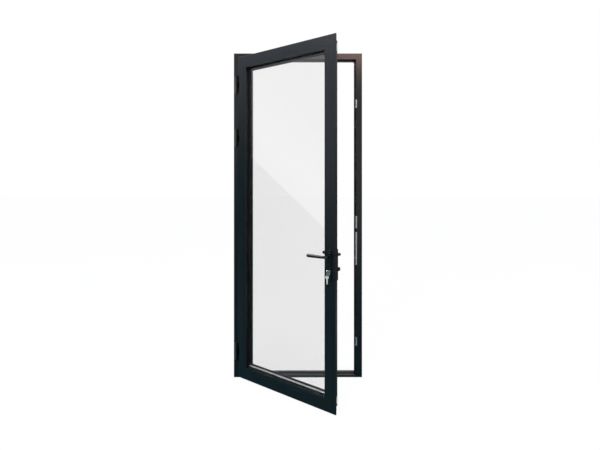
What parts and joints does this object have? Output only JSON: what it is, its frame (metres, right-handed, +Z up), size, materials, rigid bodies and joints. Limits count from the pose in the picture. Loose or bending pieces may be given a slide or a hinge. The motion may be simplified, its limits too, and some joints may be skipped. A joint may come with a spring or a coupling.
{
  "type": "glazed casement door with frame",
  "caption": "Tall glazed casement door in a dark metal frame with a low threshold, hung on barrel hinges, with a lever handle and an edge lock that bolts along its height.",
  "frame": {"origin": "middle of the threshold's underside, at half the frame's depth", "axes": "+X along the width towards the lock jamb, +Y away from the room side, +Z up"},
  "size_m": [0.95, 0.6622, 2.4],
  "materials": {
    "bar_coat": "satin dark powder coat",
    "threshold_coat": "satin dark powder coat",
    "black_hardware": "satin black",
    "rubber": "matte",
    "zinc": "die-cast zinc",
    "bright_steel": "brushed",
    "nickel": "nickel plated",
    "mill_aluminium": "mill",
    "clear_glass": "clear float glass",
    "black_plastic": "moulded",
    "grey_plastic": "moulded"
  },
  "bodies": {
    "frame": {"head": "bar_coat", "hinge_jamb": "bar_coat", "lock_jamb": "bar_coat", "threshold": "threshold_coat", "frame_corner_cleats": "mill_aluminium", "frame_gasket": "rubber", "anchor_caps": "black_plastic", "top_keep": "zinc", "centre_keep": "zinc", "main_strike": "zinc", "bottom_keep": "zinc", "keep_screws": "bright_steel", "low_hinge_frame_half": "black_hardware", "mid_hinge_frame_half": "black_hardware", "top_hinge_frame_half": "black_hardware", "hinge_pins": "black_hardware", "hinge_frame_screws": "black_hardware"},
    "leaf": {"low_hinge_leaf_half": "black_hardware", "mid_hinge_leaf_half": "black_hardware", "top_hinge_leaf_half": "black_hardware", "hinge_leaf_screws": "black_hardware", "hinge_stile": "bar_coat", "lock_stile": "bar_coat", "top_rail": "bar_coat", "bottom_rail": "bar_coat", "leaf_corner_cleats": "mill_aluminium", "front_pane": "clear_glass", "rear_pane": "clear_glass", "spacer_bar": "mill_aluminium", "edge_seal": "rubber", "hinge_bead": "bar_coat", "lock_bead": "bar_coat", "top_bead": "bar_coat", "bottom_bead": "bar_coat", "front_gasket": "rubber", "rear_gasket": "rubber", "setting_blocks": "black_plastic", "overlap_gasket": "rubber", "bottom_sweep": "rubber", "lock_case": "bright_steel", "lock_cover": "bright_steel", "faceplate": "bright_steel", "rod_guides": "grey_plastic", "cylinder_body": "nickel", "front_plate": "black_hardware", "rear_plate": "black_hardware", "plate_screws": "black_hardware"},
    "handle": {"follower": "zinc", "spindle": "bright_steel", "front_lever": "black_hardware", "rear_lever": "black_hardware"},
    "latch": {"latch_bolt": "bright_steel"},
    "deadbolt": {"dead_bolt": "bright_steel"},
    "key": {"cylinder_plug": "nickel", "thumb_turn": "black_hardware", "door_key": "nickel"},
    "ring": {"key_ring": "bright_steel", "spare_key": "nickel"},
    "upper_bar": {"upper_rod": "bright_steel"},
    "lower_bar": {"lower_rod": "bright_steel"}
  },
  "joints": [
    {"name": "leaf_swing", "type": "hinge", "parent": "frame", "child": "leaf", "pos_m": [-0.4485, -0.0425, 0], "axis": [0, 0, -1], "range_deg": [-39.5, 70.5]},
    {"name": "handle_turn", "type": "hinge", "parent": "leaf", "child": "handle", "pos_m": [0.2015, -0.5848, 0.986], "axis": [-0.6361, -0.7716, 0], "range_deg": [0, 40], "stiffness_Nm_per_rad": 1.5, "springref_deg": -17.19},
    {"name": "latch_slide", "type": "slide", "parent": "leaf", "child": "latch", "axis": [0.7716, -0.6361, 0], "range_m": [-0.0121, 0]},
    {"name": "key_turn", "type": "hinge", "parent": "leaf", "child": "key", "pos_m": [0.2015, -0.5848, 0.894], "axis": [-0.6361, -0.7716, 0], "range_deg": [0, 360]},
    {"name": "deadbolt_slide", "type": "slide", "parent": "leaf", "child": "deadbolt", "axis": [0.7716, -0.6361, 0], "range_m": [0, 0.02]},
    {"name": "upper_rod_slide", "type": "slide", "parent": "leaf", "child": "upper_bar", "axis": [0, 0, 1], "range_m": [0, 0.018]},
    {"name": "lower_rod_slide", "type": "slide", "parent": "leaf", "child": "lower_bar", "axis": [0, 0, -1], "range_m": [0, 0.018]},
    {"name": "ring_swing", "type": "hinge", "parent": "key", "child": "ring", "pos_m": [0.18115, -0.60949, 0.894], "axis": [0.7716, -0.6361, 0], "range_deg": [-20, 8]}
  ],
  "couplings": [
    {"joint": "latch_slide", "follows": "handle_turn", "m_per_rad": -0.017189},
    {"joint": "key_turn", "follows": "deadbolt_slide", "rad_per_m": 314.16},
    {"joint": "upper_rod_slide", "follows": "deadbolt_slide", "ratio": 0.9},
    {"joint": "lower_rod_slide", "follows": "deadbolt_slide", "ratio": 0.9}
  ]
}
